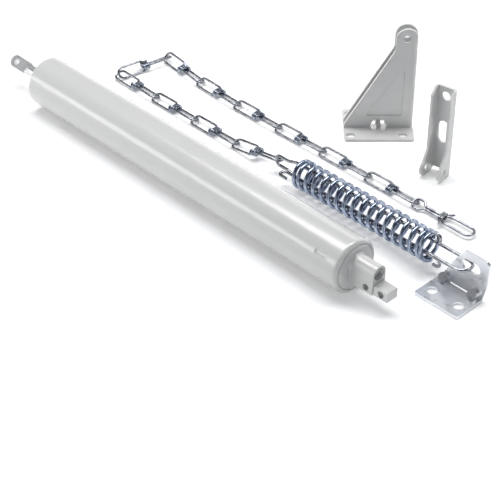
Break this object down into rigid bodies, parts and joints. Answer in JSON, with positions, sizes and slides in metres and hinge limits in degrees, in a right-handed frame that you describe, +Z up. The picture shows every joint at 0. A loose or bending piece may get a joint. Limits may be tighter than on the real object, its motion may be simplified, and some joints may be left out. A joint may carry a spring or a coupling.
{
  "type": "pneumatic door closer",
  "caption": "Pneumatic screen-door closer kit: tubular closer with sliding rod and adjusting screw, jamb and door brackets, and a spring-loaded check chain on its slotted plate.",
  "frame": {"origin": "middle of the outer pin hole in the closer's tongue", "axes": "+X along the closer, from its rod to its tongue. +Y along the tongue's pin, towards the chain and the brackets. +Z up from the surface that the kit lies on"},
  "size_m": [0.4271, 0.2067, 0.0837],
  "materials": {
    "tube_paint": "smooth white paint, half gloss",
    "plug_paint": "white paint over a die casting",
    "bracket_paint": "satin pale grey paint",
    "black_rubber": "matt",
    "guide_nylon": "matt moulded nylon",
    "rod_steel": "drawn bright steel",
    "zinc_screw": "bright zinc plate",
    "zinc_plate": "zinc plated sheet",
    "zinc_wire": "zinc plated wire",
    "spring_wire": "zinc plated spring wire"
  },
  "bodies": {
    "closer": {"closer_tube": "tube_paint", "end_plug": "plug_paint", "plug_o_ring": "black_rubber", "rod_guide": "guide_nylon", "rod_seal": "black_rubber", "return_spring": "spring_wire"},
    "rod": {"piston_rod": "rod_steel", "spring_plate": "zinc_plate", "piston": "guide_nylon", "piston_cup": "black_rubber", "rod_nut": "zinc_plate"},
    "screw": {"adjusting_screw": "zinc_screw"},
    "jamb": {"jamb_bracket": "bracket_paint"},
    "door": {"door_bracket": "bracket_paint"},
    "plate": {"chain_plate": "zinc_plate"},
    "spring_bar": {"plate_draw_bar": "zinc_wire", "check_spring": "spring_wire"},
    "chain_bar": {"chain_draw_bar": "zinc_wire"},
    "link_01": {"chain_link_01": "zinc_wire"},
    "link_02": {"chain_link_02": "zinc_wire"},
    "link_03": {"chain_link_03": "zinc_wire"},
    "link_04": {"chain_link_04": "zinc_wire"},
    "link_05": {"chain_link_05": "zinc_wire"},
    "link_06": {"chain_link_06": "zinc_wire"},
    "link_07": {"chain_link_07": "zinc_wire"},
    "link_08": {"chain_link_08": "zinc_wire"},
    "link_09": {"chain_link_09": "zinc_wire"},
    "link_10": {"chain_link_10": "zinc_wire"},
    "link_11": {"chain_link_11": "zinc_wire"},
    "end_loop": {"chain_end_loop": "zinc_wire"}
  },
  "joints": [
    {"name": "rod_slide", "type": "slide", "parent": "closer", "child": "rod", "axis": [-1, 0, 0], "range_m": [0, 0.175], "stiffness_N_per_m": 300, "springref_m": -0.1, "deforming": ["return_spring"]},
    {"name": "screw_turn", "type": "hinge", "parent": "closer", "child": "screw", "pos_m": [-0.0089, 0, 0.0102], "axis": [1, 0, 0], "range_deg": [-360, 360]},
    {"name": "jamb_lift", "type": "slide", "parent": "closer", "child": "jamb", "axis": [0, 0, 1], "range_m": [0, 0.1]},
    {"name": "door_lift", "type": "slide", "parent": "closer", "child": "door", "axis": [0, 0, 1], "range_m": [0, 0.1]},
    {"name": "plate_lift", "type": "slide", "parent": "closer", "child": "plate", "axis": [0, 0, 1], "range_m": [0, 0.1]},
    {"name": "bar_swing", "type": "hinge", "parent": "plate", "child": "spring_bar", "pos_m": [0.025, 0.0506, 0.0049], "axis": [0.0523, 0.9986, 0], "range_deg": [0, 90]},
    {"name": "chain_pull", "type": "slide", "parent": "spring_bar", "child": "chain_bar", "axis": [-0.9972, 0.0523, -0.0526], "range_m": [0, 0.06], "stiffness_N_per_m": 1500, "springref_m": -0.005, "deforming": ["check_spring"]},
    {"name": "link_01_hook", "type": "hinge", "parent": "chain_bar", "child": "link_01", "pos_m": [-0.1569, 0.06013, -0.0047], "axis": [0, -1, 0], "range_deg": [-40, 40]},
    {"name": "link_02_hook", "type": "hinge", "parent": "link_01", "child": "link_02", "pos_m": [-0.20091, 0.06013, -0.0113], "axis": [0, 1, 0], "range_deg": [-45, 45]},
    {"name": "link_03_hook", "type": "hinge", "parent": "link_02", "child": "link_03", "pos_m": [-0.24541, 0.06013, -0.0113], "axis": [0, -1, 0], "range_deg": [-45, 45]},
    {"name": "link_04_hook", "type": "hinge", "parent": "link_03", "child": "link_04", "pos_m": [-0.28991, 0.06013, -0.0113], "axis": [0.0175, 0.9998, 0], "range_deg": [-45, 45]},
    {"name": "link_05_hook", "type": "hinge", "parent": "link_04", "child": "link_05", "pos_m": [-0.33316, 0.06179, -0.00977], "axis": [-0.9945, 0.1045, 0], "range_deg": [-30, 15]},
    {"name": "link_06_hook", "type": "hinge", "parent": "link_05", "child": "link_06", "pos_m": [-0.32774, 0.10476, -0.00973], "axis": [-0.1045, -0.9945, 0], "range_deg": [-15, 30]},
    {"name": "link_07_hook", "type": "hinge", "parent": "link_06", "child": "link_07", "pos_m": [-0.28351, 0.10011, -0.0113], "axis": [0.0523, 0.9986, 0], "range_deg": [-45, 45]},
    {"name": "link_08_hook", "type": "hinge", "parent": "link_07", "child": "link_08", "pos_m": [-0.23907, 0.09779, -0.0113], "axis": [0, -1, 0], "range_deg": [-45, 45]},
    {"name": "link_09_hook", "type": "hinge", "parent": "link_08", "child": "link_09", "pos_m": [-0.19457, 0.09779, -0.0113], "axis": [-0.0175, 0.9998, 0], "range_deg": [-45, 45]},
    {"name": "link_10_hook", "type": "hinge", "parent": "link_09", "child": "link_10", "pos_m": [-0.15008, 0.09856, -0.0113], "axis": [0, -1, 0], "range_deg": [-45, 45]},
    {"name": "link_11_hook", "type": "hinge", "parent": "link_10", "child": "link_11", "pos_m": [-0.10558, 0.09856, -0.0113], "axis": [0, 1, 0], "range_deg": [-45, 45]},
    {"name": "end_loop_hook", "type": "hinge", "parent": "link_11", "child": "end_loop", "pos_m": [-0.06108, 0.09856, -0.0113], "axis": [0, -1, 0], "range_deg": [-35, 35]}
  ]
}
